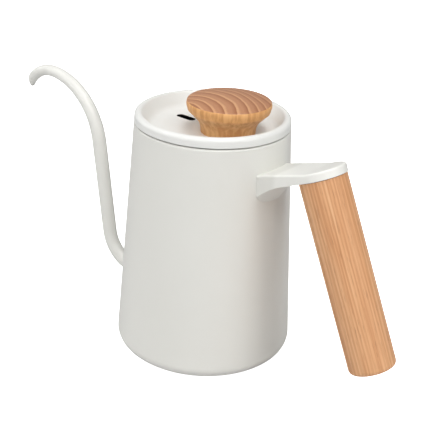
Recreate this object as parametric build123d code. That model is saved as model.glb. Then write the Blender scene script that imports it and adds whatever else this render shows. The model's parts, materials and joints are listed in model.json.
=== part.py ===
from build123d import *
import os
from math import cos, radians, sin, tan

# A gooseneck pour-over kettle. Millimetres. The origin is the centre of the face that it stands
# on, +Z is up, the handle is on the +X side and the spout on the -X side.

# ---- driving dimensions: body -------------------------------------------------------------
BASE_RADIUS = 50.0          # of the tapered side, carried down to the standing plane
SEAM_RADIUS = 42.0          # of the same side at the seam under the lid
SEAM_HEIGHT = 131.6         # the top edge of the body, which the lid stands on
BODY_WALL = 0.8
BODY_CORNER = 6.8           # rounding between the side and the standing ring
RING_LIFT = 0.4             # the painted ring stays this far above the standing plane
LIP_WIDTH = 3.4             # the top edge is turned in this far, which leaves the mouth
LIP_DROP = 3.0              # turned-down edge round the mouth
FLOOR_HEIGHT = 3.4          # underside of the floor, above the base disc
RING_WIDTH = 9.0            # from the side to the recess under the floor, which holds the base
SMALL_BEND = 1.0            # outer rounding of the small sheet bends

# ---- base ---------------------------------------------------------------------------------
CAP_GAP = 0.4               # between the cap's rim and the recess
CAP_SHEET = 0.6

# ---- spout --------------------------------------------------------------------------------
SPOUT_RADIUS = 4.1
SPOUT_WALL = 0.7
SPOUT_HEIGHT = 23.9         # of the tube's axis where it leaves the wall
SPOUT_INSIDE = 2.0          # the tube's end stands this far inside the wall
SPOUT_ROOT = 9.1            # straight run outside the wall
ROOT_BEND, ROOT_TURN = 20.5, 80.7
RISER = 56.2                # straight rising run
NECK_BEND, NECK_TURN = 41.25, 79.75
BEAK_BEND, BEAK_TURN = 25.0, 51.0  # as far as the middle of the cut tip
TIP_SPARE = 14.0            # the bend is carried on this much, then cut off, degrees
TIP_FACE_TILT = 4.0         # the cut faces outwards and this far downwards
WELD_LEG = 1.8

# ---- arm and grip -------------------------------------------------------------------------
CAP_OVERHANG = 0.5          # of the arm and its round cap past the grip, all round
CAP_THICKNESS = 4.4         # of the cap over the grip
ARM_SLOPE = 17.1            # rise of the arm's top, degrees
ARM_DROP = 14.35            # the arm's top meets the wall this far below the seam
ARM_KNEE = 60.0             # radius where the top turns up into the cap
ARM_EDGE = 1.1              # rounding of its edges
FOOT_DROP = 6.6             # the foot's sides reach this far below the bar's underside
FOOT_BELLY = 9.0            # and its rounded bottom this much further, inside the wall
FOOT_REACH = 18.0           # the foot sweeps into the bar over this length
FOOT_STEPS = 5
GRIP_TILT = 23.9            # lean of the grip from upright, degrees
GRIP_REACH, GRIP_RISE = 29.25, 4.65  # joint of arm and grip, from where the arm's top meets the wall
GRIP_RADIUS = 12.5
GRIP_LENGTH = 102.5         # with the gasket, from the arm to the end face
GRIP_END_ROUND = 2.5
GASKET_THICKNESS = 0.3
GASKET_INSET = 0.4

# ---- fasteners in the handle --------------------------------------------------------------
LUG_DEPTH, LUG_WIDTH, LUG_HEIGHT = 6.4, 12.0, 3.0
LUG_DROP = 4.05             # underside of the lug below where the arm's top meets the wall
LUG_CLEARANCE = 0.2
LUG_WEB = 1.0               # metal of the arm between the screw's head and the lug
LUG_SCREW_RADIUS = 1.5      # M3
LUG_HEAD_RADIUS, LUG_HEAD_HEIGHT = 2.75, 1.8
LUG_SOCKET = 2.0            # across the flats
LUG_SCREW_SPARE = 0.4       # the thread ends this far under the lug's top
HEAD_OFF_WALL = 0.7         # between the screw's head and the body
COVER_GAP = 0.3             # between that head and the plug over it
SPIGOT_RADIUS, SPIGOT_LENGTH = 6.0, 8.0
TIE_RADIUS = 2.5            # M5
TIE_HEAD_RADIUS, TIE_HEAD_HEIGHT = 4.25, 5.0
TIE_SOCKET = 4.0            # across the flats
TIE_BITE = 8.5              # thread length in the arm
WASHER_RADIUS, WASHER_THICKNESS = 7.2, 1.2
PLUG_RADIUS, PLUG_THICKNESS = 7.8, 5.0
PLUG_INSET = 0.4
HOLE_CLEARANCE = 0.2        # radial, round a screw or a spigot

# ---- lid ----------------------------------------------------------------------------------
SEAM_GAP = 0.75             # open line between the body and the lid's rim
SEAM_DEPTH = 2.4            # of that line, from the side to the step in the lid's flange
RIM_HEIGHT = 5.7            # top of the rim above the seam
RIM_WIDTH = 3.8
RIM_ROUND = 2.3             # outer top edge
DISH_DEPTH = 7.9            # dish floor below the rim's top
DISH_ROUND = 4.0
LID_SHEET = 0.8
COLLAR_GAP = 0.2            # between the dish wall and the collar
COLLAR_DEPTH = 10.0         # below the seam
REST_GAP = 0.05             # running gap between the lid's flange and the body
SEAL_THICKNESS = 0.4
SEAL_CLEARANCE = 0.3        # between the seal's ribs and the mouth
SEAL_HEIGHT = 6.0
SLOT_X, SLOT_LENGTH, SLOT_WIDTH = -19.0, 12.0, 4.4

# ---- knob ---------------------------------------------------------------------------------
KNOB_X = 10.6               # the knob stands off centre, towards the handle
KNOB_RADIUS = 22.6
KNOB_HEIGHT = 19.5          # from the dish floor to the crown
KNOB_CROWN = 2.6            # rise of the domed top
KNOB_EDGE = 4.9             # height of the disc's edge
KNOB_UNDERCUT = 0.8         # the foot of that edge is drawn in this far
KNOB_NECK = 14.6            # radius where it stands on the dish
KNOB_FLARE = 0.5            # the neck widens this much below its hollow
KNOB_COVE = 9.0             # radius of that hollow, which runs out under the disc at 45 degrees
INSERT_RADIUS, INSERT_LENGTH = 3.2, 9.0
INSERT_INSET = 1.0
KNOB_SCREW_RADIUS, KNOB_SCREW_LENGTH = 2.0, 11.5  # M4, and its length under the head
KNOB_HEAD_RADIUS, KNOB_HEAD_HEIGHT = 3.7, 2.4
KNOB_SOCKET = 2.5           # across the flats
KNOB_GASKET_RADIUS, KNOB_GASKET_THICKNESS = 7.0, 1.0
KNOB_WASHER_RADIUS, KNOB_WASHER_THICKNESS = 6.0, 0.8

# ---- places worked out from them ----------------------------------------------------------
MOUTH_RADIUS = SEAM_RADIUS - LIP_WIDTH
RECESS_RADIUS = BASE_RADIUS - RING_WIDTH
CAP_RADIUS = RECESS_RADIUS - CAP_GAP
TAPER = (BASE_RADIUS - SEAM_RADIUS) / SEAM_HEIGHT
ARM_TOP_Z = SEAM_HEIGHT - ARM_DROP
ARM_TOP_X = BASE_RADIUS - TAPER * ARM_TOP_Z
ARM_WIDTH = 2 * (GRIP_RADIUS + CAP_OVERHANG)
GRIP_TOP_X = ARM_TOP_X + GRIP_REACH
GRIP_TOP_Z = ARM_TOP_Z + GRIP_RISE
LUG_BOTTOM = ARM_TOP_Z - LUG_DROP
RIM_BOTTOM = SEAM_HEIGHT + SEAM_GAP
RIM_TOP = SEAM_HEIGHT + RIM_HEIGHT
DISH_FLOOR = RIM_TOP - DISH_DEPTH
KNOB_TOP = DISH_FLOOR + KNOB_HEIGHT
GRIP_FRAME = Plane(
    origin=(GRIP_TOP_X, 0, GRIP_TOP_Z),
    x_dir=(cos(radians(GRIP_TILT)), 0, sin(radians(GRIP_TILT))),
    z_dir=(-sin(radians(GRIP_TILT)), 0, cos(radians(GRIP_TILT))),
)


def side_radius(height):
    """Radius of the body's outer side at a height; the lid's rim carries the same taper on."""
    return BASE_RADIUS - TAPER * height


def turned(*outline, crown=0):
    """A solid of revolution about Z. Each point is (radius, height) or (radius, height, rounding).
    With a crown, the last point is joined to the axis by an arc that rises this much."""
    corners = [Vector(point[0], 0, point[1]) for point in outline]
    if crown:
        start, end = corners[-1], Vector(0, 0, corners[-1].Z + crown)
        radius = (start.X ** 2 + crown ** 2) / (2 * crown)
        middle_x = start.X / 2
        middle = Vector(middle_x, 0, end.Z - radius + (radius ** 2 - middle_x ** 2) ** 0.5)
        edges = list(Polyline(end, *corners).edges()) + [ThreePointArc(start, middle, end).edge()]
        face = make_face(Wire(edges)).face()
    else:
        face = make_face(Polyline(*corners, close=True)).face()
    for corner, point in zip(corners, outline):
        if len(point) == 3:
            nearest = face.vertices().sort_by_distance(corner)[0]
            face = face.fillet_2d(point[2], [nearest])
    return revolve(face, Axis.Z)


def rod(radius, bottom, top):
    """An upright cylinder on the Z axis between two heights."""
    return Pos(0, 0, bottom) * Cylinder(
        radius, top - bottom, align=(Align.CENTER, Align.CENTER, Align.MIN))


def socket_screw(radius, head_radius, head_height, length, flats):
    """A socket screw: the underside of its head is at Z = 0 and its thread points up."""
    screw = rod(head_radius, -head_height, 0) + rod(radius, 0, length)
    key = extrude(RegularPolygon(flats / 2, 6, major_radius=False), head_height * 0.6)
    return screw - Pos(0, 0, -head_height) * key


def side_solid(bottom, top):
    """The solid cone inside the body's outer side, between two heights."""
    return turned((0, bottom), (side_radius(bottom), bottom), (side_radius(top), top), (0, top))


# ---- body ---------------------------------------------------------------------------------
def make_body_shell():
    ring_top = RING_LIFT + BODY_WALL
    floor_top = FLOOR_HEIGHT + BODY_WALL
    lip_top = SEAM_HEIGHT - BODY_WALL
    step = RECESS_RADIUS + BODY_WALL
    shell = turned(
        (0, FLOOR_HEIGHT),
        (RECESS_RADIUS, FLOOR_HEIGHT, CAP_GAP),
        (RECESS_RADIUS, RING_LIFT, CAP_GAP),
        (side_radius(RING_LIFT), RING_LIFT, BODY_CORNER),
        (side_radius(SEAM_HEIGHT), SEAM_HEIGHT, SMALL_BEND),
        (MOUTH_RADIUS, SEAM_HEIGHT, SMALL_BEND),
        (MOUTH_RADIUS, SEAM_HEIGHT - LIP_DROP),
        (MOUTH_RADIUS + BODY_WALL, SEAM_HEIGHT - LIP_DROP),
        (MOUTH_RADIUS + BODY_WALL, lip_top),
        (side_radius(lip_top) - BODY_WALL, lip_top),
        (side_radius(ring_top) - BODY_WALL, ring_top, BODY_CORNER - BODY_WALL),
        (step, ring_top),
        (step, floor_top, SMALL_BEND),
        (0, floor_top),
    )
    return shell - make_spout_solid(SPOUT_RADIUS)


def make_base_disc():
    return rod(CAP_RADIUS - CAP_SHEET, CAP_SHEET, FLOOR_HEIGHT)


def make_base_cap():
    return turned(
        (0, 0),
        (CAP_RADIUS, 0, SMALL_BEND),
        (CAP_RADIUS, FLOOR_HEIGHT),
        (CAP_RADIUS - CAP_SHEET, FLOOR_HEIGHT),
        (CAP_RADIUS - CAP_SHEET, CAP_SHEET),
        (0, CAP_SHEET),
    )


# ---- spout --------------------------------------------------------------------------------
def spout_wall_x():
    """X of the body's outer side where the spout's axis leaves it."""
    return -side_radius(SPOUT_HEIGHT)


def spout_path():
    """Root run, root bend, riser, neck bend and beak bend, each tangent to the last."""
    start = (spout_wall_x() + BODY_WALL + SPOUT_INSIDE, SPOUT_HEIGHT)
    root = Line(start, (spout_wall_x() - SPOUT_ROOT, SPOUT_HEIGHT))
    root_bend = JernArc(root @ 1, root % 1, ROOT_BEND, -ROOT_TURN)
    riser = Line(root_bend @ 1, root_bend @ 1 + (root_bend % 1) * RISER)
    neck = JernArc(riser @ 1, riser % 1, NECK_BEND, NECK_TURN)
    beak = JernArc(neck @ 1, neck % 1, BEAK_BEND, BEAK_TURN + TIP_SPARE)
    return Plane.XZ * Wire([root.edge(), root_bend.edge(), riser.edge(), neck.edge(), beak.edge()])


def make_spout_solid(radius):
    """A round bar of one radius along the spout's path."""
    path = spout_path()
    section = Plane(origin=path @ 0, z_dir=path % 0) * Circle(radius)
    return sweep(section, path=path)


def tip_cutter():
    """A block that lies beyond the face of the cut tip."""
    tilt = radians(TIP_FACE_TILT)
    path = spout_path()
    middle = path.position_at(
        path.length - BEAK_BEND * radians(TIP_SPARE), position_mode=PositionMode.LENGTH)
    face = Plane(origin=middle, z_dir=(-cos(tilt), 0, -sin(tilt)))
    reach = 8 * SPOUT_RADIUS
    return face * Box(reach, reach, reach, align=(Align.CENTER, Align.CENTER, Align.MIN))


def make_spout_tube():
    tube = make_spout_solid(SPOUT_RADIUS) - make_spout_solid(SPOUT_RADIUS - SPOUT_WALL)
    return tube - tip_cutter()


def make_spout_weld():
    """A bead round the tube where it leaves the body."""
    leg_end = SPOUT_RADIUS + WELD_LEG
    bead = turned(
        (0, -WELD_LEG),
        (leg_end, -WELD_LEG),
        (leg_end, 0),
        (SPOUT_RADIUS, WELD_LEG),
        (0, WELD_LEG),
    )
    outwards = Plane(origin=(spout_wall_x(), 0, SPOUT_HEIGHT), z_dir=(-1, 0, 0))
    bead = outwards * bead
    return bead - side_solid(0, SEAM_HEIGHT) - make_spout_solid(SPOUT_RADIUS)


# ---- arm ----------------------------------------------------------------------------------
def grip_point(across, up):
    """(x, z) of a point on the grip's middle plane: across it, and up along its axis."""
    point = GRIP_FRAME.from_local_coords(Vector(across, 0, up))
    return (point.X, point.Z)


def arm_top_height(x):
    """Height of the arm's sloping top."""
    return ARM_TOP_Z + (x - ARM_TOP_X) * tan(radians(ARM_SLOPE))


def arm_under_height(x):
    """Height of the bar's underside: parallel to the top, through the cap's inner lower edge."""
    edge_x, edge_z = grip_point(-ARM_WIDTH / 2, 0)
    return edge_z + (x - edge_x) * tan(radians(ARM_SLOPE))


def arm_start():
    """X inside the wall where the arm's shape starts, before the body is cut from it."""
    return (ARM_TOP_X ** 2 - (ARM_WIDTH / 2) ** 2) ** 0.5


def foot_section(x, share):
    """Upright section of the foot; share runs from 0 at the wall to 1 at the flat bar."""
    swept = (1 - share) ** 2
    side_low = arm_under_height(x) - FOOT_DROP * swept
    belly_low = side_low - FOOT_BELLY * swept - 0.02
    half = ARM_WIDTH / 2
    high = ARM_TOP_Z + 2 * FOOT_REACH
    arc = ThreePointArc((-half, side_low), (0, belly_low), (half, side_low))
    walls = Polyline((half, side_low), (half, high), (-half, high), (-half, side_low))
    section = make_face(Wire([arc.edge()] + list(walls.edges()))).face()
    return Plane(origin=(x, 0, 0), x_dir=(0, 1, 0), z_dir=(1, 0, 0)) * section


def make_foot():
    """The swept foot, cut off level with the arm's sloping top."""
    start = arm_start()
    end = ARM_TOP_X + FOOT_REACH
    sections = []
    for step in range(FOOT_STEPS + 1):
        share = step / FOOT_STEPS
        sections.append(foot_section(start + (end - start) * share, share))
    slope = radians(ARM_SLOPE)
    top = Plane(origin=(ARM_TOP_X, 0, ARM_TOP_Z), z_dir=(-sin(slope), 0, cos(slope)))
    reach = 8 * FOOT_REACH
    above = top * Box(reach, reach, reach, align=(Align.CENTER, Align.CENTER, Align.MIN))
    return loft(sections) - above


def make_bar():
    """The flat bar from inside the wall to the middle of the cap."""
    slope, tilt = tan(radians(ARM_SLOPE)), tan(radians(GRIP_TILT))
    cap_x, cap_z = grip_point(0, CAP_THICKNESS)
    knee_x = (cap_z - tilt * cap_x - ARM_TOP_Z + slope * ARM_TOP_X) / (slope - tilt)
    start = arm_start()
    corners = [
        (start, arm_under_height(start)),
        (start, arm_top_height(start)),
        (knee_x, arm_top_height(knee_x)),
        (cap_x, cap_z),
        grip_point(0, 0),
        grip_point(-ARM_WIDTH / 2, 0),
    ]
    profile = make_face(Polyline(*corners, close=True)).face()
    knee = profile.vertices().sort_by_distance(Vector(*corners[2]))[0]
    room = abs(cap_x - knee_x) / cos(radians(GRIP_TILT))
    turn = radians(GRIP_TILT - ARM_SLOPE)
    profile = Plane.XZ * profile.fillet_2d(min(ARM_KNEE, 0.8 * room / tan(turn / 2)), [knee])
    return extrude(profile, ARM_WIDTH / 2, both=True)


def make_arm_blank():
    """The arm before its pockets and holes: foot, flat bar and round cap."""
    cap = GRIP_FRAME * rod(ARM_WIDTH / 2, 0, CAP_THICKNESS)
    return make_foot() + make_bar() + cap - side_solid(0, SEAM_HEIGHT)


def make_handle_arm():
    """The finished arm: rounded top edge, pocket for the lug, screw holes and grip spigot."""
    arm = make_arm_blank()
    top_edges = []
    for edge in arm.edges():
        middle = edge @ 0.5
        if middle.Z > arm_top_height(middle.X) - ARM_EDGE / 3 and middle.X > ARM_TOP_X + 1:
            top_edges.append(edge)
    arm = fillet(top_edges, ARM_EDGE)
    arm += GRIP_FRAME * rod(SPIGOT_RADIUS, -SPIGOT_LENGTH, 0)
    arm -= GRIP_FRAME * rod(TIE_RADIUS, -SPIGOT_LENGTH, TIE_BITE - SPIGOT_LENGTH)
    arm -= lug_block(LUG_CLEARANCE)
    arm -= Pos(lug_screw_x(), 0, 0) * rod(LUG_SCREW_RADIUS + HOLE_CLEARANCE, lug_seat(), LUG_BOTTOM)
    arm -= Pos(lug_screw_x(), 0, 0) * rod(lug_bore(), 0, lug_seat())
    return arm


# ---- lug under the arm's foot --------------------------------------------------------------
def lug_screw_x():
    return side_radius(LUG_BOTTOM) + HEAD_OFF_WALL + LUG_HEAD_RADIUS


def lug_bore():
    """Radius of the hole that the screw's head goes in by."""
    return LUG_HEAD_RADIUS + HOLE_CLEARANCE


def lug_seat():
    """Height of the face in the arm that the lug screw's head bears on."""
    return LUG_BOTTOM - LUG_CLEARANCE - LUG_WEB


def lug_block(clearance):
    """The lug's block, or with a clearance the pocket for it."""
    inner = side_radius(LUG_BOTTOM) - LUG_DEPTH
    outer = side_radius(LUG_BOTTOM) + LUG_DEPTH + clearance
    block = Box(
        outer - inner, LUG_WIDTH + 2 * clearance, LUG_HEIGHT + 2 * clearance,
        align=(Align.MIN, Align.CENTER, Align.MIN))
    return Pos(inner, 0, LUG_BOTTOM - clearance) * block - side_solid(0, SEAM_HEIGHT)


def make_handle_lug():
    hole = Pos(lug_screw_x(), 0, 0) * rod(LUG_SCREW_RADIUS, 0, SEAM_HEIGHT)
    return lug_block(0) - hole


def make_lug_screw():
    length = LUG_BOTTOM + LUG_HEIGHT - LUG_SCREW_SPARE - lug_seat()
    screw = socket_screw(LUG_SCREW_RADIUS, LUG_HEAD_RADIUS, LUG_HEAD_HEIGHT, length, LUG_SOCKET)
    return Pos(lug_screw_x(), 0, lug_seat()) * screw


def make_screw_cover():
    """A plug that closes the screw's hole, shaped level with the underside of the foot."""
    top = lug_seat() - LUG_HEAD_HEIGHT - COVER_GAP
    return make_arm_blank() & (Pos(lug_screw_x(), 0, 0) * rod(lug_bore(), 0, top))


# ---- grip ---------------------------------------------------------------------------------
def washer_seat():
    """Height, along the grip from its joint, of the face that the tie washer bears on."""
    return -GRIP_LENGTH + PLUG_INSET + PLUG_THICKNESS + TIE_HEAD_HEIGHT + WASHER_THICKNESS + 1.0


def make_grip():
    grip = turned(
        (0, -GRIP_LENGTH),
        (GRIP_RADIUS, -GRIP_LENGTH, GRIP_END_ROUND),
        (GRIP_RADIUS, -GASKET_THICKNESS),
        (0, -GASKET_THICKNESS),
    )
    grip -= rod(TIE_RADIUS + HOLE_CLEARANCE, -GRIP_LENGTH, 0)
    grip -= rod(SPIGOT_RADIUS + HOLE_CLEARANCE, -SPIGOT_LENGTH - HOLE_CLEARANCE, 0)
    grip -= rod(PLUG_RADIUS, -GRIP_LENGTH, washer_seat())
    return GRIP_FRAME * grip


def make_grip_gasket():
    ring = rod(GRIP_RADIUS - GASKET_INSET, -GASKET_THICKNESS, 0)
    return GRIP_FRAME * (ring - rod(SPIGOT_RADIUS, -GASKET_THICKNESS, 0))


def make_tie_washer():
    washer = rod(WASHER_RADIUS, washer_seat() - WASHER_THICKNESS, washer_seat())
    return GRIP_FRAME * (washer - rod(TIE_RADIUS + HOLE_CLEARANCE, -GRIP_LENGTH, 0))


def make_tie_screw():
    head_face = washer_seat() - WASHER_THICKNESS
    length = TIE_BITE - SPIGOT_LENGTH - head_face - 0.5
    screw = socket_screw(TIE_RADIUS, TIE_HEAD_RADIUS, TIE_HEAD_HEIGHT, length, TIE_SOCKET)
    return GRIP_FRAME * (Pos(0, 0, head_face) * screw)


def make_grip_plug():
    bottom = -GRIP_LENGTH + PLUG_INSET
    plug = turned(
        (0, bottom),
        (PLUG_RADIUS, bottom, PLUG_INSET),
        (PLUG_RADIUS, bottom + PLUG_THICKNESS),
        (0, bottom + PLUG_THICKNESS),
    )
    return GRIP_FRAME * plug


# ---- lid ----------------------------------------------------------------------------------
def collar_radius():
    """Outer radius of the lid's collar, set by the mouth and by the seal between them."""
    return MOUTH_RADIUS - SEAL_CLEARANCE - 2 * SEAL_THICKNESS


def dish_wall_lean():
    """Radius gained by the dish wall for each millimetre of height."""
    crest_radius = side_radius(RIM_TOP) - RIM_WIDTH + LID_SHEET
    collar_inner = collar_radius() - LID_SHEET - COLLAR_GAP
    rise = RIM_HEIGHT - REST_GAP - 2 * LID_SHEET
    return (crest_radius - collar_inner) / rise


def dish_wall_radius(height):
    """Radius of the dish wall's outer face, which clears the collar and runs up to the crest."""
    flange_top = SEAM_HEIGHT + REST_GAP + LID_SHEET
    at_collar = collar_radius() - LID_SHEET - COLLAR_GAP
    return at_collar + (height - flange_top) * dish_wall_lean()


def make_lid_shell():
    under_crest = RIM_TOP - LID_SHEET
    under_floor = DISH_FLOOR - LID_SHEET
    wall_across = LID_SHEET * (1 + dish_wall_lean() ** 2) ** 0.5
    shell = turned(
        (0, DISH_FLOOR),
        (dish_wall_radius(DISH_FLOOR) - wall_across, DISH_FLOOR, DISH_ROUND),
        (dish_wall_radius(RIM_TOP) - wall_across, RIM_TOP, RIM_ROUND - LID_SHEET),
        (side_radius(RIM_TOP), RIM_TOP, RIM_ROUND),
        (side_radius(RIM_BOTTOM), RIM_BOTTOM),
        (side_radius(RIM_BOTTOM) - LID_SHEET, RIM_BOTTOM),
        (side_radius(under_crest) - LID_SHEET, under_crest, RIM_ROUND - LID_SHEET),
        (dish_wall_radius(under_crest), under_crest, (RIM_ROUND - LID_SHEET) / 2),
        (dish_wall_radius(under_floor), under_floor, DISH_ROUND + LID_SHEET),
        (0, under_floor),
    )
    slot = extrude(SlotOverall(SLOT_LENGTH, SLOT_WIDTH), LID_SHEET * 3, both=True)
    hole = Pos(KNOB_X, 0, 0) * rod(KNOB_SCREW_RADIUS + HOLE_CLEARANCE, 0, RIM_TOP)
    return shell - Pos(SLOT_X, 0, DISH_FLOOR) * slot - hole


def make_lid_collar():
    """The collar in the mouth; its flange stands on the body and steps up to the rim."""
    outer = collar_radius()
    flange_bottom = SEAM_HEIGHT + REST_GAP
    flange_top = flange_bottom + LID_SHEET
    step = SEAM_RADIUS - SEAM_DEPTH
    raised_top = flange_top + LID_SHEET
    edge = side_radius(raised_top) - LID_SHEET
    return turned(
        (outer - LID_SHEET, SEAM_HEIGHT - COLLAR_DEPTH),
        (outer, SEAM_HEIGHT - COLLAR_DEPTH),
        (outer, flange_bottom),
        (step, flange_bottom),
        (step, flange_top),
        (edge, flange_top),
        (edge, raised_top),
        (step - LID_SHEET, raised_top),
        (step - LID_SHEET, flange_top),
        (outer - LID_SHEET, flange_top),
    )


def make_lid_seal():
    """A band round the collar with two ribs that face the mouth."""
    inner = collar_radius()
    band = inner + SEAL_THICKNESS
    rib = MOUTH_RADIUS - SEAL_CLEARANCE
    top = SEAM_HEIGHT - 1
    bottom = top - SEAL_HEIGHT
    return turned(
        (inner, bottom), (rib, bottom), (rib, bottom + 1), (band, bottom + 1.6),
        (band, top - 1.6), (rib, top - 1), (rib, top), (inner, top))


# ---- knob ---------------------------------------------------------------------------------
def make_knob():
    edge_top = KNOB_TOP - KNOB_CROWN
    edge_bottom = edge_top - KNOB_EDGE
    edge_foot = KNOB_RADIUS - KNOB_UNDERCUT
    cove_height = edge_bottom - (edge_foot - KNOB_NECK - KNOB_FLARE)
    knob = turned(
        (0, DISH_FLOOR),
        (KNOB_NECK, DISH_FLOOR),
        (KNOB_NECK + KNOB_FLARE, cove_height, KNOB_COVE),
        (edge_foot, edge_bottom, 0.3),
        (KNOB_RADIUS, edge_top - 0.4 * KNOB_EDGE, 4.0),
        (KNOB_RADIUS - 0.4, edge_top, 0.8),
        crown=KNOB_CROWN,
    )
    knob -= rod(INSERT_RADIUS, 0, DISH_FLOOR + INSERT_INSET + INSERT_LENGTH)
    knob -= rod(KNOB_SCREW_RADIUS + HOLE_CLEARANCE, 0, DISH_FLOOR + KNOB_SCREW_LENGTH)
    return Pos(KNOB_X, 0, 0) * knob


def make_knob_insert():
    bottom = DISH_FLOOR + INSERT_INSET
    insert = rod(INSERT_RADIUS, bottom, bottom + INSERT_LENGTH)
    return Pos(KNOB_X, 0, 0) * (insert - rod(KNOB_SCREW_RADIUS, 0, KNOB_TOP))


def knob_stack(level):
    """Heights under the lid: 0 the sheet's underside, 1 under the gasket, 2 under the washer."""
    under = DISH_FLOOR - LID_SHEET
    return [under, under - KNOB_GASKET_THICKNESS,
            under - KNOB_GASKET_THICKNESS - KNOB_WASHER_THICKNESS][level]


def make_knob_gasket():
    ring = rod(KNOB_GASKET_RADIUS, knob_stack(1), knob_stack(0))
    return Pos(KNOB_X, 0, 0) * (ring - rod(KNOB_SCREW_RADIUS, 0, KNOB_TOP))


def make_knob_washer():
    ring = rod(KNOB_WASHER_RADIUS, knob_stack(2), knob_stack(1))
    return Pos(KNOB_X, 0, 0) * (ring - rod(KNOB_SCREW_RADIUS + HOLE_CLEARANCE, 0, KNOB_TOP))


def make_knob_screw():
    screw = socket_screw(
        KNOB_SCREW_RADIUS, KNOB_HEAD_RADIUS, KNOB_HEAD_HEIGHT, KNOB_SCREW_LENGTH, KNOB_SOCKET)
    return Pos(KNOB_X, 0, knob_stack(2)) * screw


# ---- the assembly -------------------------------------------------------------------------
PARTS = {
    "body_shell": make_body_shell,
    "base_disc": make_base_disc,
    "base_cap": make_base_cap,
    "spout_tube": make_spout_tube,
    "spout_weld": make_spout_weld,
    "handle_lug": make_handle_lug,
    "handle_arm": make_handle_arm,
    "lug_screw": make_lug_screw,
    "screw_cover": make_screw_cover,
    "grip_gasket": make_grip_gasket,
    "grip": make_grip,
    "tie_washer": make_tie_washer,
    "tie_screw": make_tie_screw,
    "grip_plug": make_grip_plug,
    "lid_shell": make_lid_shell,
    "lid_collar": make_lid_collar,
    "lid_seal": make_lid_seal,
    "knob": make_knob,
    "knob_insert": make_knob_insert,
    "knob_gasket": make_knob_gasket,
    "knob_washer": make_knob_washer,
    "knob_screw": make_knob_screw,
}

os.makedirs("parts", exist_ok=True)
for name, make in PARTS.items():
    export_step(make(), f"parts/{name}.step")
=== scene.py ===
# %% [markdown]
# # A gooseneck kettle, finished in Blender
# The kettle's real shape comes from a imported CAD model, which this script loads as a fixed frame.
# The script then gives every piece a finish, makes again the pieces whose surface needs more than
# CAD gives, and sets up a plain studio. All lengths are in metres, and +Z is up.

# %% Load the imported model
import bpy
import bmesh
import json
from math import cos, pi, radians, sin
from mathutils import Matrix, Vector


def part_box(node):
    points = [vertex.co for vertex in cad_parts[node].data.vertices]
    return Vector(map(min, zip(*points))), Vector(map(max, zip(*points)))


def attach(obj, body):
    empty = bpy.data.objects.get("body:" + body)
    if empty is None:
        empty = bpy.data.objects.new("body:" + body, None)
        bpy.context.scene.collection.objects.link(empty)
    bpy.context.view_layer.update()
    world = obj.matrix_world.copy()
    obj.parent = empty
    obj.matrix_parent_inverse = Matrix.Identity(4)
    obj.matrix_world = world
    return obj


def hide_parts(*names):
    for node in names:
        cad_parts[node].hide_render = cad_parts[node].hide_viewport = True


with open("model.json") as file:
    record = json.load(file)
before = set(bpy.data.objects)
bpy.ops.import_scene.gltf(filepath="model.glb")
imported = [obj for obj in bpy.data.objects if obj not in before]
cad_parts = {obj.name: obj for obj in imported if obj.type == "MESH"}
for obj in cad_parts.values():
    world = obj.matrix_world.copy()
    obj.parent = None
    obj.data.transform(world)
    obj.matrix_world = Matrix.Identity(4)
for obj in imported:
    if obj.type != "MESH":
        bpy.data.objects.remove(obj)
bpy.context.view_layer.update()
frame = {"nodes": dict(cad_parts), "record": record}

# %% [markdown]
# ## Camera
# A camera close to a kettle makes its sides lean together, so this one stands well back behind a
# long lens. It looks down on the lid and is rolled by a few degrees. A camera looks along its own
# -Z axis, so its turn is built from the line of sight and then rolled about it.

# %% Camera
CAMERA_PLACE = Vector((0.3162, -0.3854, 0.3059))
CAMERA_AIM = Vector((0.0029, 0.0023, 0.0772))
CAMERA_ROLL = radians(2.916)
LENS_ANGLE = radians(24.61)

camera_data = bpy.data.cameras.new("camera")
camera_data.angle = LENS_ANGLE
camera = bpy.data.objects.new("camera", camera_data)
bpy.context.scene.collection.objects.link(camera)
sight = (CAMERA_AIM - CAMERA_PLACE).to_track_quat("-Z", "Y").to_matrix().to_4x4()
camera.matrix_world = Matrix.Translation(CAMERA_PLACE) @ sight @ Matrix.Rotation(CAMERA_ROLL, 4, "Z")
bpy.context.scene.camera = camera
print("camera is", round((CAMERA_AIM - CAMERA_PLACE).length, 3), "m from the kettle")

# %% [markdown]
# ## Node trees written as Python
# A material is a tree of nodes, and so is a Geometry Nodes modifier. Built by hand, a sum of two
# values takes three lines, so a small class wraps a node's output and lets ordinary Python signs
# add the Math nodes. One method makes any other node from its type, its settings and its inputs.

# %% A value in a node tree
class Value:
    """One output of a node, on which + - * / and ** add Math nodes."""

    def __init__(self, nodes, socket):
        self.nodes = nodes
        self.socket = socket

    def maths(self, operation, *others):
        """Any Math node, by its operation, with this value as its first input."""
        return self.nodes.node("ShaderNodeMath", {"operation": operation}, [self, *others])

    def __add__(self, other):
        return self.maths("ADD", other)

    def __sub__(self, other):
        return self.maths("SUBTRACT", other)

    def __mul__(self, other):
        return self.maths("MULTIPLY", other)

    def __truediv__(self, other):
        return self.maths("DIVIDE", other)

    def __pow__(self, other):
        return self.maths("POWER", other)

    def __rsub__(self, other):
        return self.nodes.number(other).maths("SUBTRACT", self)

    def __rtruediv__(self, other):
        return self.nodes.number(other).maths("DIVIDE", self)

    __radd__ = __add__
    __rmul__ = __mul__

    def step(self, low, high):
        """0 below low, 1 above high, and a smooth rise between."""
        return self.nodes.node(
            "ShaderNodeMapRange", {"interpolation_type": "SMOOTHSTEP"}, [self, low, high, 0.0, 1.0])


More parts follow.
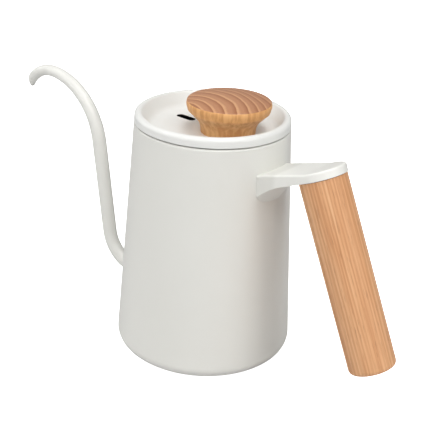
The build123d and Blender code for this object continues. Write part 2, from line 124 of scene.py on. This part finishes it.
# %% A node tree
class Nodes:
    """A tree, with one method that makes any node in it."""

    def __init__(self, tree):
        self.tree = tree

    def node(self, kind, settings=None, inputs=(), output=0):
        """Makes a node, sets its settings first and then its inputs, and returns one output."""
        made = self.tree.nodes.new(kind)
        for setting, value in (settings or {}).items():
            if setting == "stops":
                self.set_stops(made.color_ramp, value)
            else:
                setattr(made, setting, value)
        named = inputs.items() if isinstance(inputs, dict) else enumerate(inputs)
        for place, value in named:
            self.feed(made.inputs[place], value)
        return Value(self, made.outputs[output])

    def feed(self, socket, value):
        """Links an input to a value, or sets it to a plain number, vector or colour."""
        if isinstance(value, Value):
            self.tree.links.new(value.socket, socket)
        elif value is not None:
            socket.default_value = value

    def set_stops(self, ramp, stops):
        """Gives a colour ramp its (place, colour) stops."""
        while len(ramp.elements) < len(stops):
            ramp.elements.new(0.5)
        for element, (place, colour) in zip(ramp.elements, stops):
            element.position = place
            element.color = (*colour, 1.0)

    def number(self, value):
        """A plain number as a value, for when it comes first in a sum."""
        return self.node("ShaderNodeMath", {"operation": "ADD"}, [value, 0.0])

    def parts_of(self, vector):
        """The X, Y and Z of a vector, as three values."""
        split = self.node("ShaderNodeSeparateXYZ", {}, [vector]).socket.node
        return [Value(self, output) for output in split.outputs]

    def vector(self, operation, *inputs):
        return self.node("ShaderNodeVectorMath", {"operation": operation}, inputs)


# %% A finish
class Finish(Nodes):
    """A Principled material and the nodes that feed it."""

    def __init__(self, name, **numbers):
        self.material = bpy.data.materials.new(name)
        self.material.use_nodes = True
        super().__init__(self.material.node_tree)
        self.shader = next(n for n in self.tree.nodes if n.type == "BSDF_PRINCIPLED")
        for socket, number in numbers.items():
            self.shader.inputs[socket.replace("_", " ")].default_value = number

    def place(self):
        """The point's own place on the kettle, in metres."""
        return self.node("ShaderNodeTexCoord", output="Object")

    def mapped(self, shift=(0, 0, 0), turn=(0, 0, 0), scale=(1, 1, 1)):
        """The place from a new origin, after the object is turned and then scaled."""
        return self.node(
            "ShaderNodeMapping", {"vector_type": "POINT"},
            {"Vector": self.vector("SUBTRACT", self.place(), shift), "Rotation": turn, "Scale": scale})

    def noise(self, where, scale, detail=2.0, roughness=0.5, distortion=0.0):
        return self.node("ShaderNodeTexNoise", {}, {
            "Vector": where, "Scale": scale, "Detail": detail,
            "Roughness": roughness, "Distortion": distortion})

    def mix(self, share, first, second):
        """A colour between two colours."""
        return self.node(
            "ShaderNodeMix", {"data_type": "RGBA"}, {0: share, 6: first, 7: second}, output=2)

    def bump(self, height, depth):
        """Relief of a depth in metres on the surface."""
        normal = self.node("ShaderNodeBump", {}, {"Strength": 1.0, "Distance": depth, "Height": height})
        self.feed(self.shader.inputs["Normal"], normal)

    def use(self, **values):
        """Feeds the shader's inputs, named with _ for each space, and gives the material."""
        for socket, value in values.items():
            self.feed(self.shader.inputs[socket.replace("_", " ")], value)
        return self.material


def rgb(red, green, blue):
    """A colour with its alpha, as a colour socket wants it."""
    return (red, green, blue, 1.0)


# %% [markdown]
# ## Satin paint
# The body, spout, arm and lid are steel under a baked satin powder coat. Powder flows out almost
# flat, so up close it has a very fine orange peel, and its sheen changes a little from place to
# place. Relief in the mesh would need millions of faces for so fine a peel, so noise does it: one
# noise under a millimetre wide for the relief, and one centimetres wide for sheen and colour. The
# inside is bare, and one material shows both by asking where a point lies.

# %% Powder coat
STEEL = (0.76, 0.75, 0.73)
STEEL_SHINE = 0.75         # the share that mirrors; the rest scatters, so the inside is not black
# painted shade: the near-black given to the steam slot's cut wall
SHADOW = (0.01, 0.01, 0.01)
CLOUD_SCALE = 22.0         # noise scales are per metre, so clouds are about 45 mm wide
PEEL_SCALE = 1300.0        # and the orange peel is about 0.8 mm
PEEL_DEPTH = 0.00002
CLEAR_COAT = 0.25          # how strongly the powder's glossy skin shows


def powder_coat(finish, colour, deep, sheen, bare_and_shade, steel_and_shade, metal):
    """Paint, except for one share, which shows another colour instead: bare steel, and on the lid's
    steam slot a near-black painted shade.
    """
    where = finish.place()
    cloud = finish.noise(where, CLOUD_SCALE, detail=3.0)
    peel = finish.noise(where, PEEL_SCALE, detail=2.0)
    finish.bump(peel, PEEL_DEPTH)
    paint = finish.mix(cloud.step(0.3, 0.7), colour, deep)
    return finish.use(
        Base_Color=finish.mix(bare_and_shade, paint, steel_and_shade),
        Roughness=sheen + (cloud - 0.5) * 0.08 + (peel - 0.5) * 0.04 - metal * 0.1,
        Metallic=metal,
        Coat_Weight=(1 - bare_and_shade) * CLEAR_COAT)


# %% Body paint
BODY_WHITE = (0.775, 0.771, 0.728)
BODY_WHITE_DEEP = (0.765, 0.760, 0.715)
# painted light: the arm and the spout get a lighter white than the drum, though their paint is the same
FITTING_PAINTED_LIGHT = (0.85, 0.846, 0.802)
FOOT_RADIUS = 0.050        # of the drum's side, carried down to the floor
SEAM_RADIUS = 0.042        # of the same side at the seam under the lid
SEAM_HEIGHT = 0.1316
HALF_WALL = 0.0004
FLOOR_TOP = 0.0042         # of the drum's floor, inside
LIP_BOTTOM = 0.1286        # the turned-in lip round the mouth is painted
PAINTED_LIGHT_FADE = 0.004       # how far past the foot's radius the painted light on the arm and spout takes over
SPOUT_SHARE = 0.4          # of the painted light that the spout takes; the arm takes it all
PAINT_EDGE = 0.0001        # over which paint gives way to steel


def body_paint():
    """White outside, with a painted light that makes the arm and spout whiter, and bare steel inside
    the drum.
    """
    finish = Finish("body_paint", Coat_Roughness=0.25, IOR=1.5)
    x, y, z = finish.parts_of(finish.place())
    # painted light: the arm takes the lighter white in full, and the spout takes a share of it
    arm = x.step(FOOT_RADIUS, FOOT_RADIUS + PAINTED_LIGHT_FADE)
    tube = (0 - x).step(FOOT_RADIUS, FOOT_RADIUS + PAINTED_LIGHT_FADE)
    painted_light = arm + tube * SPOUT_SHARE
    colour = finish.mix(painted_light, rgb(*BODY_WHITE), rgb(*FITTING_PAINTED_LIGHT))
    deep = finish.mix(painted_light, rgb(*BODY_WHITE_DEEP), rgb(*FITTING_PAINTED_LIGHT))
    side = FOOT_RADIUS - z * ((FOOT_RADIUS - SEAM_RADIUS) / SEAM_HEIGHT)
    depth = side - (x * x + y * y) ** 0.5
    above_floor = z.step(FLOOR_TOP - 4 * PAINT_EDGE, FLOOR_TOP - PAINT_EDGE)
    between = above_floor - z.step(LIP_BOTTOM - 2 * PAINT_EDGE, LIP_BOTTOM)
    inside = depth.step(HALF_WALL - PAINT_EDGE, HALF_WALL + PAINT_EDGE) * between
    return powder_coat(finish, colour, deep, 0.42, inside, rgb(*STEEL), inside * STEEL_SHINE)


# %% Lid paint
# the lid's white paint, set lighter than the body's: the extra lightness is painted light, as the lid's
# top faces take more light
LID_WHITE = (0.81, 0.812, 0.785)
LID_WHITE_DEEP = (0.80, 0.802, 0.773)
SLOT_MIDDLE = -0.019       # the steam slot, in the lid's dish
SLOT_RUN = 0.0038          # from its middle to the centre of its round end
SLOT_EDGE = 0.00222        # half its width, and a little over
SLOT_FADE = 0.00012


def lid_paint():
    """White above, bare steel beneath, and a near-black painted shade on the cut wall of the steam
    slot.
    """
    finish = Finish("lid_paint", Coat_Roughness=0.25, IOR=1.5)
    x, y = finish.parts_of(finish.place())[:2]
    past = ((x - SLOT_MIDDLE).maths("ABSOLUTE") - SLOT_RUN).maths("MAXIMUM", 0.0)
    away = (past * past + y * y) ** 0.5
    # painted shade: the slot's cut wall lies in deep shadow and is coloured near black
    slot_shade = 1 - away.step(SLOT_EDGE, SLOT_EDGE + SLOT_FADE)
    facing = finish.node("ShaderNodeNewGeometry", output="Normal")
    beneath = (0 - finish.parts_of(facing)[2]).step(0.3, 0.5) * (1 - slot_shade)
    steel_and_shade = finish.mix(beneath, rgb(*SHADOW), rgb(*STEEL))
    return powder_coat(
        finish, rgb(*LID_WHITE), rgb(*LID_WHITE_DEEP), 0.38, slot_shade + beneath, steel_and_shade,
        beneath * STEEL_SHINE)


# %% [markdown]
# ## Wood of the grip
# The grip is turned from straight-grained pale hardwood, so growth layers, fibres and pores all run
# its length. A picture of wood could be wrapped round it, but noise stretched along the grip's axis
# needs no seam and goes right through, so the end face matches. Growth layers are nearly even, so
# they are a wave across the grain; three noises add broad clouds, fine fibres and short dark pores.

# %% Grip wood
GRIP_TILT = radians(23.9)
LAYER_WIDTH = 0.0017                # of one year's growth
LAYER_BEARING = radians(42.0)       # which way the layers lie in the turned piece
GRIP_PALE = (0.86, 0.555, 0.325)
GRIP_MIDDLE = (0.76, 0.42, 0.215)
GRIP_WARM = (0.63, 0.30, 0.135)
GRIP_DARK = (0.47, 0.20, 0.08)
GRIP_PORE = (0.33, 0.135, 0.055)
GRIP_RELIEF = 0.00005


def stretched(finish, where, squeeze):
    """The place with its third axis squeezed, so that a noise on it is drawn out along that axis."""
    return finish.vector("MULTIPLY", where, (1.0, 1.0, squeeze))


def grip_wood():
    """Long straight grain in four browns."""
    finish = Finish("grip_wood", IOR=1.45)
    middle = [sum(axis) / 2 for axis in zip(*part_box("grip"))]
    where = finish.mapped(shift=middle, turn=(0, GRIP_TILT, 0))
    x, y = finish.parts_of(where)[:2]
    wander = finish.noise(stretched(finish, where, 0.05), 60.0) - 0.5
    across = x * cos(LAYER_BEARING) + y * sin(LAYER_BEARING)
    layers = ((across / LAYER_WIDTH + wander * 1.2) * (2 * pi)).maths("SINE")
    clouds = finish.noise(stretched(finish, where, 0.04), 230.0, detail=2.0, roughness=0.5)
    fibres = finish.noise(stretched(finish, where, 0.02), 1050.0, detail=3.0, roughness=0.6)
    pores = finish.noise(stretched(finish, where, 0.05), 2600.0, detail=1.0).step(0.62, 0.74)
    tone = layers * 0.055 + clouds * 0.3 + fibres * 0.5 + 0.115
    wood = finish.node("ShaderNodeValToRGB", {"stops": [
        (0.25, GRIP_PALE), (0.45, GRIP_MIDDLE), (0.62, GRIP_WARM), (0.8, GRIP_DARK)]}, [tone])
    finish.bump(fibres * 0.6 - pores, GRIP_RELIEF)
    return finish.use(
        Base_Color=finish.mix(pores * 0.45, wood, rgb(*GRIP_PORE)),
        Roughness=0.44 + fibres * 0.14)


# %% [markdown]
# ## Wood of the knob
# The knob is turned with the trunk's axis upright. Its top cuts across the growth rings, which show
# as wide arcs: each begins pale, browns outwards as its summer ends, and stops at a dark edge where
# the next year starts. Its side runs along the fibres, so it is paler and yellower and shows them
# as faint upright streaks. The slope of the surface says which of the two is seen. A ready-made
# wave texture would give even rings only, so the distance from the trunk's middle is bent first.

# %% Knob wood
RING_CENTRE = (-0.0009, -0.038, 0.0)   # the trunk's middle, off the front of the knob
RING_WIDTH = 0.0055
RING_SQUASH = 0.9
RING_PUSH = 0.14                       # of a ring: how far uneven years move the rings to and fro
PUSH_RADIUS = 0.0284                   # where they are moved furthest inwards
PUSH_REPEAT = 0.026                    # and how far it is to the next such place
SHADE_FROM = 0.036                     # rings further out than this, towards the back of the top, are painted a little darker: painted shade
SHADE_TO = 0.056
DISC_BOTTOM = 0.1405
KNOB_PALE = (0.63, 0.345, 0.18)
KNOB_BAND = (0.475, 0.23, 0.12)
KNOB_DEEP = (0.33, 0.13, 0.058)
DISC_SIDE = (0.82, 0.45, 0.18)
DISC_SIDE_DEEP = (0.66, 0.315, 0.112)
# the flare and stem under the disc: the same side grain as the disc's edge, painted darker as painted
# shade under the disc
STEM_SHADED = (0.73, 0.42, 0.18)
STEM_SHADED_DEEP = (0.55, 0.26, 0.093)
KNOB_RELIEF = 0.00004


def knob_wood():
    """Growth rings on top, and upright streaks down the sides."""
    finish = Finish("knob_wood", IOR=1.45)
    where = finish.mapped(shift=RING_CENTRE)
    upright = stretched(finish, where, 0.12)
    wander = finish.noise(upright, 70.0, detail=2.0) - 0.5
    x, y, z = finish.parts_of(where)
    radius = ((x * RING_SQUASH) ** 2.0 + y * y) ** 0.5
    uneven = ((radius - PUSH_RADIUS) * (2 * pi / PUSH_REPEAT)).maths("COSINE") * RING_PUSH
    ring = (radius / RING_WIDTH + uneven + wander * 0.5 - 0.3).maths("FRACT")
    # painted shade: the back of the knob's top is painted darker, so that the front, which a sheen
    # makes paler, stands out
    back_shade = radius.step(SHADE_FROM, SHADE_TO) * 0.22
    bands = finish.node("ShaderNodeValToRGB", {"stops": [
        (0.0, KNOB_DEEP), (0.07, KNOB_PALE), (0.17, KNOB_PALE), (0.34, KNOB_BAND),
        (0.60, KNOB_BAND), (1.0, KNOB_DEEP)]}, [ring])
    grain = finish.noise(upright, 1400.0, detail=3.0, roughness=0.6)
    end_grain = finish.mix(grain.step(0.45, 0.8) * 0.3 + back_shade, bands, rgb(*KNOB_DEEP))
    streaks = finish.noise(stretched(finish, where, 0.03), 420.0, detail=4.0, roughness=0.6)
    striped = streaks.step(0.36, 0.64)
    disc = finish.mix(striped, rgb(*DISC_SIDE), rgb(*DISC_SIDE_DEEP))
    shaded_stem = finish.mix(striped, rgb(*STEM_SHADED), rgb(*STEM_SHADED_DEEP))
    # painted shade: below the disc's edge the side takes the darker stem colours
    side_grain = finish.mix(z.step(DISC_BOTTOM - 0.001, DISC_BOTTOM + 0.001), shaded_stem, disc)
    facing = finish.node("ShaderNodeNewGeometry", output="Normal")
    upward = finish.parts_of(facing)[2].step(0.45, 0.8)
    finish.bump(grain * 0.6 - ring * 0.4, KNOB_RELIEF)
    return finish.use(
        Base_Color=finish.mix(upward, side_grain, end_grain),
        Roughness=0.42 + grain * 0.12)


# %% [markdown]
# ## Metals, rubber and silicone
# The hidden and underside pieces are bare steel, aluminium, brass, rubber and silicone. Bare metal
# keeps fine marks from the rolls or from the lathe. Rolled marks are a noise squeezed on one axis,
# and turned marks are a wave on the distance from the axis. Rubber and silicone have a fine grain.
# These pieces are small or seldom seen, so three shared recipes serve eight finishes.

# %% Bare metals
MARKS = (1.0, 1.0, 30.0)   # how far each axis is squeezed, so the marks lie level
MARK_DEPTH = 0.00001
GROOVE_DEPTH = 0.00003


def bare_metal(name, colour, rough):
    """Metal with fine level marks."""
    finish = Finish(name, Metallic=1.0)
    where = finish.mapped(scale=MARKS)
    lines = finish.noise(where, 260.0, detail=4.0, roughness=0.7)
    dulling = finish.noise(finish.place(), 35.0, detail=2.0)
    finish.bump(lines, MARK_DEPTH)
    pale = rgb(*colour)
    dark = rgb(*(0.82 * part for part in colour))
    return finish.use(
        Base_Color=finish.mix(lines.step(0.35, 0.75), pale, dark),
        Roughness=rough + (lines - 0.5) * 0.16 + (dulling - 0.5) * 0.1)


def spun_metal(name, colour, rough, pitch):
    """Metal with fine turned circles round the upright axis."""
    finish = Finish(name, Metallic=1.0)
    x, y = finish.parts_of(finish.place())[:2]
    radius = (x * x + y * y) ** 0.5
    groove = (radius * (2 * pi / pitch)).maths("SINE")
    scratches = finish.noise(finish.place(), 420.0, detail=5.0, roughness=0.7)
    finish.bump(groove * 0.5 + scratches * 0.3, GROOVE_DEPTH)
    pale = rgb(*colour)
    dark = rgb(*(0.8 * part for part in colour))
    return finish.use(
        Base_Color=finish.mix(scratches.step(0.45, 0.8), pale, dark),
        Roughness=rough + groove * 0.04 + (scratches - 0.5) * 0.2)


# %% Rubber and silicone
SOFT_GRAIN_DEPTH = 0.00003


def soft_finish(name, colour, rough):
    """A soft moulded surface with a fine grain."""
    finish = Finish(name, IOR=1.42)
    grain = finish.noise(finish.place(), 2400.0, detail=2.0)
    cloud = finish.noise(finish.place(), 60.0)
    finish.bump(grain, SOFT_GRAIN_DEPTH)
    return finish.use(
        Base_Color=finish.mix(cloud, rgb(*colour), rgb(*(0.85 * part for part in colour))),
        Roughness=rough + (grain - 0.5) * 0.12)


# %% [markdown]
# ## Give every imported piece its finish
# The record names a material slot for each piece of the CAD model. A piece whose shape is already
# right keeps its mesh, and only gets its finish here.

# %% The finishes
finishes = {
    "body_paint": body_paint(),
    "lid_paint": lid_paint(),
    "grip_wood": grip_wood(),
    "knob_wood": knob_wood(),
    "base_steel": spun_metal("base_steel", (0.60, 0.59, 0.58), 0.30, 0.0009),
    "bare_steel": bare_metal("bare_steel", (0.62, 0.61, 0.60), 0.28),
    "base_aluminium": spun_metal("base_aluminium", (0.76, 0.77, 0.78), 0.35, 0.0007),
    "screw_steel": bare_metal("screw_steel", (0.56, 0.56, 0.57), 0.26),
    "black_rubber": soft_finish("black_rubber", (0.03, 0.03, 0.03), 0.65),
    "plug_rubber": soft_finish("plug_rubber", (0.10, 0.08, 0.07), 0.6),
    "clear_silicone": soft_finish("clear_silicone", (0.74, 0.74, 0.71), 0.42),
    "insert_brass": bare_metal("insert_brass", (0.72, 0.53, 0.24), 0.30),
}
for name, material in finishes.items():
    print("finish:", name, "of", len(material.node_tree.nodes), "nodes")

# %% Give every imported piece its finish
for entry in frame["record"]["subparts"]:
    node = frame["nodes"][entry["node"]]
    node.data.materials.clear()
    node.data.materials.append(finishes[entry["material_slot"]])

# %% [markdown]
# ## Spout
# The real spout is one steel tube: it is drawn thinner towards the tip, bent three times and ground
# off upright at the end, so that water leaves it in a clean thread. A bevelled curve would give the
# bends but neither the wall nor the slanted cut. Geometry Nodes can instead roll a flat grid round
# a path: one side of the grid runs out along the outside, over the lip and back along the inside,
# and the other side goes round the tube.

# %% A Geometry Nodes tree
class Pattern(Nodes):
    """A Geometry Nodes tree with named inputs, which makes one plain mesh."""

    def __init__(self, name, **numbers):
        super().__init__(bpy.data.node_groups.new(name, "GeometryNodeTree"))
        sockets = self.tree.interface
        sockets.new_socket("Geometry", in_out="INPUT", socket_type="NodeSocketGeometry")
        sockets.new_socket("Geometry", in_out="OUTPUT", socket_type="NodeSocketGeometry")
        self.numbers = {}
        for label, number in numbers.items():
            kind = "NodeSocketInt" if isinstance(number, int) else "NodeSocketFloat"
            socket = sockets.new_socket(label, in_out="INPUT", socket_type=kind)
            self.numbers[socket.identifier] = number
        self.inputs = self.tree.nodes.new("NodeGroupInput")

    def __getitem__(self, label):
        """The named input, as a value."""
        return Value(self, self.inputs.outputs[label])

    def made(self, name, start, geometry, material):
        """Ends the tree, runs it on a starting mesh, and keeps only the plain mesh it gives."""
        real = self.node("GeometryNodeRealizeInstances", {}, [geometry])
        painted = self.node("GeometryNodeSetMaterial", {}, {"Geometry": real, "Material": material})
        self.feed(self.tree.nodes.new("NodeGroupOutput").inputs[0], painted)
        piece = bpy.data.objects.new(name, start)
        bpy.context.scene.collection.objects.link(piece)
        modifier = piece.modifiers.new(name, "NODES")
        modifier.node_group = self.tree
        for identifier, number in self.numbers.items():
            modifier[identifier] = number
        evaluated = piece.evaluated_get(bpy.context.evaluated_depsgraph_get())
        mesh = bpy.data.meshes.new_from_object(evaluated)
        piece.modifiers.clear()
        piece.data = mesh
        return piece


# %% The spout's path
ROOT_START = (-0.04575, 0.0239)     # inside the body's wall
ROOT_RUN = 0.0119
ROOT_BEND = 0.0205                  # radius of the path's bend, as for the other two
ROOT_TURN = radians(-80.7)
RISER = 0.0562
NECK_BEND = 0.04125
NECK_TURN = radians(79.75)
BEAK_BEND = 0.025
BEAK_TURN = radians(51.0)
SPARE_TURN = radians(24.0)          # the path runs on past the cut
PATH_STEP = 0.0005


def bent_path(start, heading, pieces):
    """Points in the plane Y = 0 along (length, turn) pieces: runs and arcs, each tangent."""
    place = Vector((start[0], 0, start[1]))
    points = [place.copy()]
    for length, turn in pieces:
        steps = round(length / PATH_STEP)
        for step in range(steps):
            middle = heading + (step + 0.5) * turn / steps
            place += Vector((cos(middle), 0, sin(middle))) * (length / steps)
            points.append(place.copy())
        heading += turn
    return points


spout_pieces = [
    (ROOT_RUN, 0.0),
    (ROOT_BEND * abs(ROOT_TURN), ROOT_TURN),
    (RISER, 0.0),
    (NECK_BEND * NECK_TURN, NECK_TURN),
    (BEAK_BEND * BEAK_TURN, BEAK_TURN),
    (BEAK_BEND * SPARE_TURN, SPARE_TURN),
]
cut_length = sum(length for length, turn in spout_pieces[:-1])
path_points = bent_path(ROOT_START, pi, spout_pieces)
path_mesh = bpy.data.meshes.new("spout_path")
path_mesh.from_pydata(path_points, [(i, i + 1) for i in range(len(path_points) - 1)], [])
print("spout: length", round(cut_length, 4), "m, points", len(path_points))

# %% [markdown]
# ## The cut at the tip
# The tip is cut by a plane that stands nearly upright, and not square to the tube. A Boolean cut
# would leave thin broken faces in so thin a wall. The rows of the grid slide along the path
# instead, each point by as much as brings it to the plane, so the wall stays whole.

# %% The cut at its tip
CUT_TILT = radians(4.0)             # the cut faces outwards and this far downwards
tip_angle = pi + ROOT_TURN + NECK_TURN + BEAK_TURN - pi / 2   # of the tip, round the beak's centre
cut_angle = pi + CUT_TILT                                      # of the way that the cut faces
cut_reach = BEAK_BEND * cos(tip_angle - cut_angle)             # from that centre to the cut
print("cut stands", round(cut_reach * 1000, 1), "mm from the beak's centre")

# %% The tube's sizes
HALF_ROWS = 150                     # outside, and as many again inside
CLOSING_RUN = 0.001                 # at the root, where the wall closes
tube = Pattern(
    "tapered_tube", Rows=2 * HALF_ROWS + 1, Sides=48, Root_radius=0.0042, Tip_radius=0.0031,
    Wall=0.0007, Taper_start=ROOT_RUN + ROOT_BEND * abs(ROOT_TURN) + RISER, Length=cut_length,
    Slant_length=0.010, Lip=0.0002)
print("tube inputs:", {identifier: round(size, 4) for identifier, size in tube.numbers.items()})

# %% Roll a grid round the path
path = tube.node("GeometryNodeMeshToCurve", {}, [tube["Geometry"]])
grid = tube.node("GeometryNodeMeshGrid", {}, {
    "Size X": 1.0, "Size Y": 1.0, "Vertices X": tube["Rows"], "Vertices Y": tube["Sides"] + 1})
across, around = tube.parts_of(tube.node("GeometryNodeInputPosition"))[:2]
turn = around * (-2 * pi)
inside = (across * HALF_ROWS + 0.5).maths("MINIMUM", 1.0).maths("MAXIMUM", 0.0)
share = ((0.5 - across.maths("ABSOLUTE")) * (2 * HALF_ROWS / (HALF_ROWS - 1))).maths("MINIMUM", 1.0)
length = share * tube["Length"]
narrowing = tube.node(
    "ShaderNodeMapRange", {},
    [length, tube["Taper_start"], tube["Length"], tube["Root_radius"], tube["Tip_radius"]])
closing = (length / CLOSING_RUN).maths("MINIMUM", 1.0)
radius = narrowing - inside * closing * tube["Wall"]
print("nodes so far:", len(tube.tree.nodes))

# %% Slant the rows near the tip and lay the grid along the path
SAME_POINT = 0.00001                # the grid's two side edges meet, and are merged within this
off_middle = radius * turn.maths("COSINE")
reached = (cut_reach / (off_middle + BEAK_BEND)).maths("ARCCOSINE")
slide = (cut_angle - tip_angle - reached) * BEAK_BEND
near_tip = length.step(tube["Length"] - tube["Slant_length"], tube["Length"])
bulge = inside * (1 - inside) * 4 * tube["Lip"]
along = length + near_tip * slide + bulge * near_tip
middle_line = tube.node(
    "GeometryNodeSampleCurve", {"mode": "LENGTH"}, {"Curves": path, "Length": along}, "Position")
tangent = Value(tube, middle_line.socket.node.outputs["Tangent"])
outwards = tube.vector("CROSS_PRODUCT", (0.0, 1.0, 0.0), tangent)
sideways = tube.node("ShaderNodeCombineXYZ", {}, {"Y": radius * turn.maths("SINE")})
spread = tube.node("ShaderNodeVectorMath", {"operation": "SCALE"}, {0: outwards, "Scale": off_middle})
where = tube.vector("ADD", middle_line, tube.vector("ADD", spread, sideways))
rolled = tube.node("GeometryNodeSetPosition", {}, {"Geometry": grid, "Position": where})
joined = tube.node(
    "GeometryNodeMergeByDistance", {}, {"Geometry": rolled, "Distance": SAME_POINT})
smooth = tube.node("GeometryNodeSetShadeSmooth", {}, {"Geometry": joined, "Shade Smooth": True})
spout = tube.made("spout", path_mesh, smooth, finishes["body_paint"])
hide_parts("spout_tube")
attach(spout, "kettle")

# %% [markdown]
# ## A check on the tube
# A rolled grid can come out inside out or with an open seam, and neither shows at a glance. Its
# volume is negative when its faces point inwards, and its open edges can be counted, so both are
# measured.

# %% Check the rolled tube
def measured(piece):
    """Prints a piece's faces, its open edges and its volume, which is positive if faces point out."""
    shape = bmesh.new()
    shape.from_mesh(piece.data)
    open_edges = sum(1 for edge in shape.edges if not edge.is_manifold)
    print(piece.name, "faces", len(shape.faces), "open edges", open_edges,
          "volume", round(shape.calc_volume(signed=True) * 1e6, 3), "ml")
    shape.free()


measured(spout)

# %% [markdown]
# ## Studio
# White paint shows its shape only by soft changes of light, so it is lit as in a light tent: soft
# light from nearly every side, strongest from above and in front. One big lamp would be simpler but
# would leave hard edges and one dark side. Ten round soft lamps and a faint glow in the sky behind
# the kettle light it instead. The background's white is there only for what looks at it straight,
# so it adds no light to the kettle.

# %% Floor
FLOOR_HALF = 6.0
FLOOR_GREY = 0.62          # the share of the light that it throws back
FLOOR_GLOW = 1.2           # seen straight on
WHITE = rgb(1, 1, 1)
floor_mesh = bpy.data.meshes.new("floor")
corners = [(x * FLOOR_HALF, y * FLOOR_HALF, 0.0) for x, y in ((-1, -1), (1, -1), (1, 1), (-1, 1))]
floor_mesh.from_pydata(corners, [], [(0, 1, 2, 3)])
floor = bpy.data.objects.new("floor", floor_mesh)
bpy.context.scene.collection.objects.link(floor)
floor_finish = Finish(
    "floor", Base_Color=rgb(FLOOR_GREY, FLOOR_GREY, FLOOR_GREY), Roughness=0.9,
    Emission_Strength=FLOOR_GLOW)
seen = floor_finish.node("ShaderNodeLightPath", output="Is Camera Ray")
floor_mesh.materials.append(floor_finish.use(Emission_Color=seen))
print("floor:", 2 * FLOOR_HALF, "m across")

# %% Soft lamps
LAMP_DISTANCE = 1.6
LAMP_SIZE = 0.7
LAMP_TARGET = Vector((0, 0, 0.07))
LAMPS = [  # bearing from +X and height, in degrees, then watts
    (0, 80, 8.7),
    (-45, 50, 6.8), (-5, 50, 4.2), (-90, 50, 3.6), (-150, 50, 3.2),
    (-120, 18, 3.3), (-165, 18, 3.4), (5, 18, 3.3), (-75, 18, 2.2), (-30, 18, 1.3),
]


def direction(bearing, height):
    """A unit vector towards a bearing and a height, both in degrees."""
    across, up = radians(bearing), radians(height)
    return Vector((cos(across) * cos(up), sin(across) * cos(up), sin(up)))


for number, (bearing, height, power) in enumerate(LAMPS):
    lamp_data = bpy.data.lights.new(f"lamp_{number}", "AREA")
    lamp_data.shape = "DISK"
    lamp_data.size = LAMP_SIZE
    lamp_data.energy = power
    lamp = bpy.data.objects.new(f"lamp_{number}", lamp_data)
    bpy.context.scene.collection.objects.link(lamp)
    away = direction(bearing, height)
    lamp.location = LAMP_TARGET + away * LAMP_DISTANCE
    lamp.rotation_euler = away.to_track_quat("Z", "Y").to_euler()
print("lamps:", len(LAMPS), "watts:", round(sum(power for bearing, height, power in LAMPS), 1))

# %% Sky
SKY_GLOW = 0.454                    # at its brightest
SKY_TOWARDS = direction(129, 10)    # where that is, low behind the kettle
SKY_NARROWING = 3.0                 # how fast it fades from there

world = bpy.data.worlds.new("sky")
bpy.context.scene.world = world
world.use_nodes = True
sky = next(n for n in world.node_tree.nodes if n.type == "BACKGROUND")
air = Nodes(world.node_tree)
facing = air.node("ShaderNodeTexCoord", output="Generated")
behind = air.node(
    "ShaderNodeVectorMath", {"operation": "DOT_PRODUCT"}, [facing, SKY_TOWARDS], output="Value")
seen = air.node("ShaderNodeLightPath", output="Is Camera Ray")
air.feed(sky.inputs["Strength"], (behind * 0.5 + 0.5) ** SKY_NARROWING * SKY_GLOW + seen)
sky.inputs["Color"].default_value = WHITE
bpy.context.scene.view_settings.view_transform = "Standard"
print("sky nodes:", len(world.node_tree.nodes))
